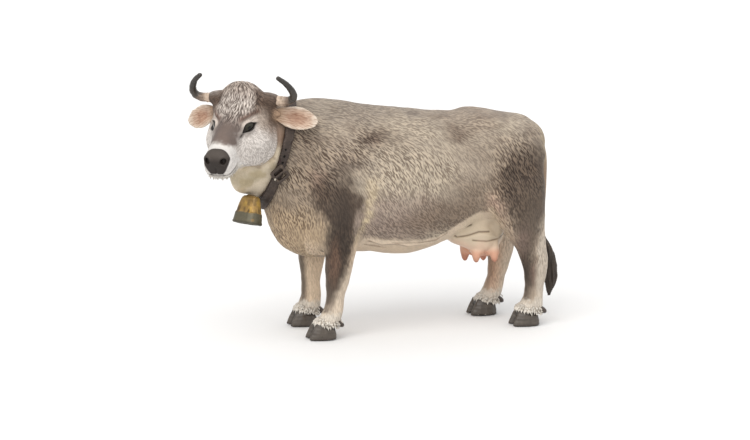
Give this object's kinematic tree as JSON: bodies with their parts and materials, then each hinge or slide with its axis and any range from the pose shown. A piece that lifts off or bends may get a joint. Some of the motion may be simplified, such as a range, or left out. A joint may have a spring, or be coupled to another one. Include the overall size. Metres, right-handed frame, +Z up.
{
  "type": "toy cow figure",
  "caption": "Standing toy dairy cow with its head turned to one side, horns, an udder, a long tail, and a buckled collar with a cow bell.",
  "frame": {"origin": "on the surface it stands on, under the middle of its outer box", "axes": "-X the way the cow faces, -Y its left side, +Z up"},
  "size_m": [0.135, 0.0508, 0.0921],
  "materials": {
    "hide": "painted, matt",
    "udder": "painted, matt",
    "tail": "painted, matt",
    "horn": "painted, satin",
    "ear": "painted, matt",
    "collar": "painted as leather, satin",
    "buckle": "painted, satin",
    "bell": "painted as brass, satin"
  },
  "bodies": {
    "root": {"trunk": "hide", "head": "hide", "foreleg_left": "hide", "foreleg_right": "hide", "hindleg_left": "hide", "hindleg_right": "hide", "udder": "udder", "tail": "tail", "horn_left": "horn", "horn_right": "horn", "ear_left": "ear", "ear_right": "ear", "collar": "collar", "buckle": "buckle", "bell": "bell"}
  },
  "joints": []
}
